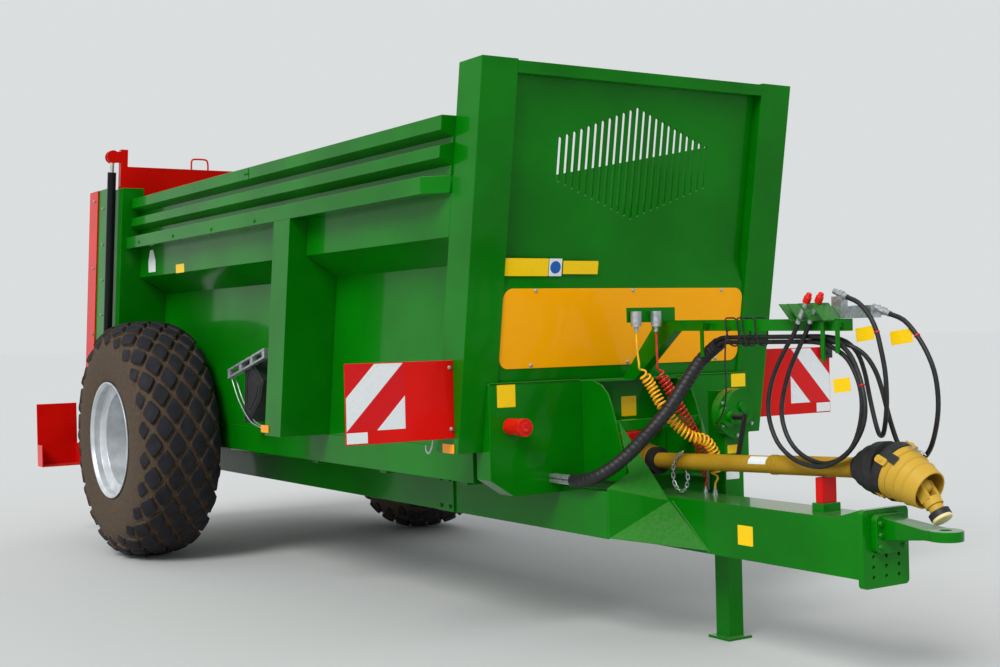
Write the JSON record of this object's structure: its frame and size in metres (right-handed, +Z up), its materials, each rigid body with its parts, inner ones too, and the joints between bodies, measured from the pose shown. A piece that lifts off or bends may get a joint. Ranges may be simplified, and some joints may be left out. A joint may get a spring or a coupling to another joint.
{
  "type": "single-axle manure spreader",
  "caption": "Towed rear-discharge manure spreader: leaning front wall, high-sided load box, two upright beaters behind a lifting door, big flotation tyres, drive shaft and hose rack.",
  "frame": {"origin": "on the ground, midway between the tow eye's tip and the back of the lamp carriers, on the centre line", "axes": "+Z up, +Y to the rear along the load box, -Y to the tow eye, +X to the machine's left"},
  "size_m": [3.32, 8.26, 3.105],
  "materials": {
    "green_paint": "glossy sprayed enamel",
    "red_paint": "glossy sprayed enamel",
    "red_plastic": "moulded",
    "yellow_paint": "satin powder coat",
    "yellow_plastic": "moulded",
    "black_plastic": "moulded",
    "black_paint": "glossy",
    "rim_paint": "silver lacquer",
    "tyre": "dusty rubber",
    "chrome_steel": "hard chrome",
    "galvanised_steel": "hot-dip galvanised",
    "lamp_lens": "clear moulded",
    "hose_rubber": "wrapped rubber cover",
    "yellow_coil": "polyurethane",
    "red_coil": "polyurethane",
    "worn_steel": "worn bare steel"
  },
  "bodies": {
    "root": {"chassis_beams": "green_paint", "cross_members": "green_paint", "drawbar": "green_paint", "flare_plates": "green_paint", "hitch_plate": "green_paint", "tow_eye": "green_paint", "jack_column": "green_paint", "jack_crank": "black_paint", "front_wall": "green_paint", "front_posts": "green_paint", "front_plate": "yellow_paint", "front_box": "green_paint", "document_tube": "red_plastic", "pto_hood": "green_paint", "wall_left": "green_paint", "wall_right": "green_paint", "side_sills": "green_paint", "top_rails": "green_paint", "mid_posts": "green_paint", "extension_left": "green_paint", "extension_right": "green_paint", "rear_posts": "green_paint", "floor": "green_paint", "apron": "worn_steel", "axle": "green_paint", "air_tank": "black_paint", "warning_boards": "red_paint", "wheel_chocks": "galvanised_steel", "housing_sides": "green_paint", "housing_strips": "red_paint", "top_beam": "green_paint", "spreading_deck": "green_paint", "lift_barrels": "black_paint", "lamp_carriers": "red_paint", "tail_lamps": "lamp_lens", "pto_guard": "yellow_plastic", "pto_boot": "black_plastic", "pto_cone": "yellow_plastic", "pto_yoke": "yellow_plastic", "pto_rest": "red_paint", "hose_rack": "green_paint", "couplings": "galvanised_steel", "hose_a": "hose_rubber", "hose_b": "hose_rubber", "hose_c": "hose_rubber", "hose_e": "hose_rubber", "hose_sleeve": "hose_rubber", "coil_yellow": "yellow_coil", "coil_red": "red_coil", "rack_cable": "hose_rubber"},
    "wheel_left": {"tyre_left": "tyre", "rim_left": "rim_paint"},
    "wheel_right": {"tyre_right": "tyre", "rim_right": "rim_paint"},
    "door": {"door": "red_paint", "lift_rods": "chrome_steel"},
    "beater_left": {"beater_left": "green_paint"},
    "beater_right": {"beater_right": "green_paint"},
    "jack_leg": {"jack_leg": "green_paint"}
  },
  "joints": [
    {"name": "wheel_left_turn", "type": "hinge", "parent": "root", "child": "wheel_left", "pos_m": [1.175, 2.44, 0.88], "axis": [1, 0, 0], "continuous": true},
    {"name": "wheel_right_turn", "type": "hinge", "parent": "root", "child": "wheel_right", "pos_m": [-1.175, 2.44, 0.88], "axis": [1, 0, 0], "continuous": true},
    {"name": "door_lift", "type": "slide", "parent": "root", "child": "door", "axis": [0, -0.1599, 0.9871], "range_m": [0, 1]},
    {"name": "beater_left_turn", "type": "hinge", "parent": "root", "child": "beater_left", "pos_m": [0.58, 3.6462, 0.9], "axis": [0, -0.1599, 0.9871], "continuous": true},
    {"name": "beater_right_turn", "type": "hinge", "parent": "root", "child": "beater_right", "pos_m": [-0.58, 3.6462, 0.9], "axis": [0, -0.1599, 0.9871], "continuous": true},
    {"name": "jack_lift", "type": "slide", "parent": "root", "child": "jack_leg", "axis": [0, 0, 1], "range_m": [0, 0.4]}
  ]
}
